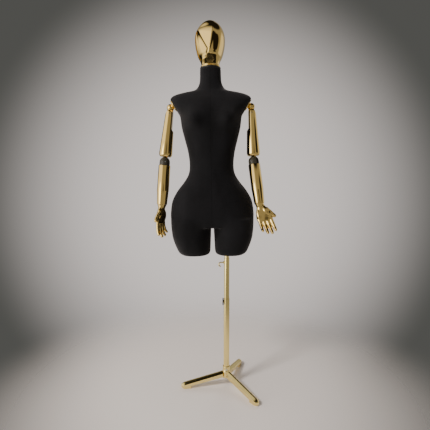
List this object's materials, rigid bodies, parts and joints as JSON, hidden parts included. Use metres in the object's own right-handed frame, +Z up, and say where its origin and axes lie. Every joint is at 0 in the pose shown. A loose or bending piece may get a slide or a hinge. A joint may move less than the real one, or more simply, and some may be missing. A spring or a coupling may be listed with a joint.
{
  "type": "dress form mannequin",
  "caption": "Velvet-covered half-body dress form with a plated egg-shaped head, jointed plated arms and hands, on a telescoping pole with a three-legged stand.",
  "frame": {"origin": "on the floor, under the middle of the form's bounding box", "axes": "+Z up, -Y the way the form faces, +X to its left"},
  "size_m": [0.5506, 0.3922, 1.7343],
  "materials": {
    "velvet": "black short-pile velvet with a soft sheen",
    "shell": "moulded shell, unfinished, hidden under the cover",
    "gold_plate": "mirror gold vacuum-plated plastic",
    "gold_tube": "gold-plated steel tube, mirror",
    "cast_gold": "gold-plated casting, semi-mirror",
    "black_plastic": "black moulded plastic",
    "steel": "bright zinc-plated steel"
  },
  "bodies": {
    "base": {"hub": "cast_gold", "hub_set_screw": "steel", "hub_bottom_plate": "steel", "hub_bottom_bolt": "steel", "lower_tube": "gold_tube", "lower_clamp_boss": "gold_tube", "leg_left": "cast_gold", "foot_pad_left": "cast_gold", "leg_bolt_left": "steel", "leg_front": "cast_gold", "foot_pad_front": "cast_gold", "leg_bolt_front": "steel", "leg_back": "cast_gold", "foot_pad_back": "cast_gold", "leg_bolt_back": "steel"},
    "clamp_knob": {"height_knob": "black_plastic", "height_knob_screw": "steel"},
    "mid_pole": {"mid_tube": "gold_tube", "upper_clamp_boss": "gold_tube"},
    "hook": {"hook_screw": "gold_tube"},
    "spigot": {"spigot_rod": "gold_tube", "spigot_cap": "black_plastic"},
    "torso": {"torso_core": "shell", "velvet_cover": "velvet", "pole_socket": "steel", "neck_plate": "black_plastic", "neck_bush": "steel", "shoulder_plate_left": "black_plastic", "shoulder_plate_right": "black_plastic", "shoulder_disc_left": "gold_plate", "shoulder_disc_right": "gold_plate"},
    "head": {"head_shell": "gold_plate", "head_ring": "gold_plate", "head_post": "steel"},
    "shoulder_joint_left": {"shoulder_link_left": "gold_plate"},
    "upper_arm_left": {"upper_arm_left": "gold_plate", "shoulder_pin_left": "steel"},
    "elbow_joint_left": {"elbow_link_left": "gold_plate"},
    "forearm_left": {"forearm_left": "gold_plate", "elbow_pin_left": "steel"},
    "hand_left": {"hand_left": "gold_plate", "wrist_peg_left": "steel"},
    "shoulder_joint_right": {"shoulder_link_right": "gold_plate"},
    "upper_arm_right": {"upper_arm_right": "gold_plate", "shoulder_pin_right": "steel"},
    "elbow_joint_right": {"elbow_link_right": "gold_plate"},
    "forearm_right": {"forearm_right": "gold_plate", "elbow_pin_right": "steel"},
    "hand_right": {"hand_right": "gold_plate", "wrist_peg_right": "steel"}
  },
  "joints": [
    {"name": "mid_tube_slide", "type": "slide", "parent": "base", "child": "mid_pole", "axis": [0, 0, 1], "range_m": [-0.1, 0.2]},
    {"name": "spigot_slide", "type": "slide", "parent": "mid_pole", "child": "spigot", "axis": [0, 0, 1], "range_m": [-0.01, 0.15]},
    {"name": "torso_swivel", "type": "hinge", "parent": "spigot", "child": "torso", "pos_m": [0.05093, -0.01604, 0.74], "axis": [0, 0, 1], "continuous": true},
    {"name": "head_turn", "type": "hinge", "parent": "torso", "child": "head", "pos_m": [-0.02723, -0.00304, 1.54123], "axis": [-0.0122, 0, 0.9999], "range_deg": [-180, 180]},
    {"name": "knob_turn", "type": "hinge", "parent": "base", "child": "clamp_knob", "pos_m": [0.05093, -0.01604, 0.433], "axis": [-1, 0, 0], "range_deg": [-180, 180]},
    {"name": "hook_turn", "type": "hinge", "parent": "mid_pole", "child": "hook", "pos_m": [0.05093, -0.01604, 0.629], "axis": [-1, 0, 0], "range_deg": [-180, 180]},
    {"name": "shoulder_spin_left", "type": "hinge", "parent": "torso", "child": "shoulder_joint_left", "pos_m": [-0.2103, -0.01404, 1.3572], "axis": [-0.8686, 0, -0.4955], "range_deg": [-30, 120]},
    {"name": "shoulder_lift_left", "type": "hinge", "parent": "shoulder_joint_left", "child": "upper_arm_left", "pos_m": [-0.21359, -0.01715, 1.32754], "axis": [0.0013, 0.9945, -0.1045], "range_deg": [0, 60]},
    {"name": "elbow_spin_left", "type": "hinge", "parent": "upper_arm_left", "child": "elbow_joint_left", "pos_m": [-0.23341, -0.03588, 1.14912], "axis": [-0.1098, -0.1037, -0.9885], "range_deg": [-30, 60]},
    {"name": "elbow_bend_left", "type": "hinge", "parent": "elbow_joint_left", "child": "forearm_left", "pos_m": [-0.23786, -0.04008, 1.10908], "axis": [-0.2054, 0.9754, -0.0796], "range_deg": [0, 80]},
    {"name": "wrist_turn_left", "type": "hinge", "parent": "forearm_left", "child": "hand_left", "pos_m": [-0.2514, -0.05883, 0.91415], "axis": [0.069, 0.0955, 0.993], "range_deg": [-60, 60]},
    {"name": "shoulder_spin_right", "type": "hinge", "parent": "torso", "child": "shoulder_joint_right", "pos_m": [0.16029, -0.01404, 1.36173], "axis": [-0.8805, 0, 0.4741], "range_deg": [-3, 120]},
    {"name": "shoulder_lift_right", "type": "hinge", "parent": "shoulder_joint_right", "child": "upper_arm_right", "pos_m": [0.1617, -0.01769, 1.33199], "axis": [-0.0015, -0.9925, 0.1219], "range_deg": [0, 60]},
    {"name": "elbow_spin_right", "type": "hinge", "parent": "upper_arm_right", "child": "elbow_joint_right", "pos_m": [0.17018, -0.03968, 1.15303], "axis": [-0.047, 0.1218, 0.9914], "range_deg": [-5, 60]},
    {"name": "elbow_bend_right", "type": "hinge", "parent": "elbow_joint_right", "child": "forearm_right", "pos_m": [0.17209, -0.04461, 1.11288], "axis": [-0.7433, -0.6673, 0.0467], "range_deg": [0, 73]},
    {"name": "wrist_turn_right", "type": "hinge", "parent": "forearm_right", "child": "hand_right", "pos_m": [0.19609, -0.08469, 0.92222], "axis": [-0.1223, 0.2042, 0.9713], "range_deg": [-60, 60]}
  ]
}
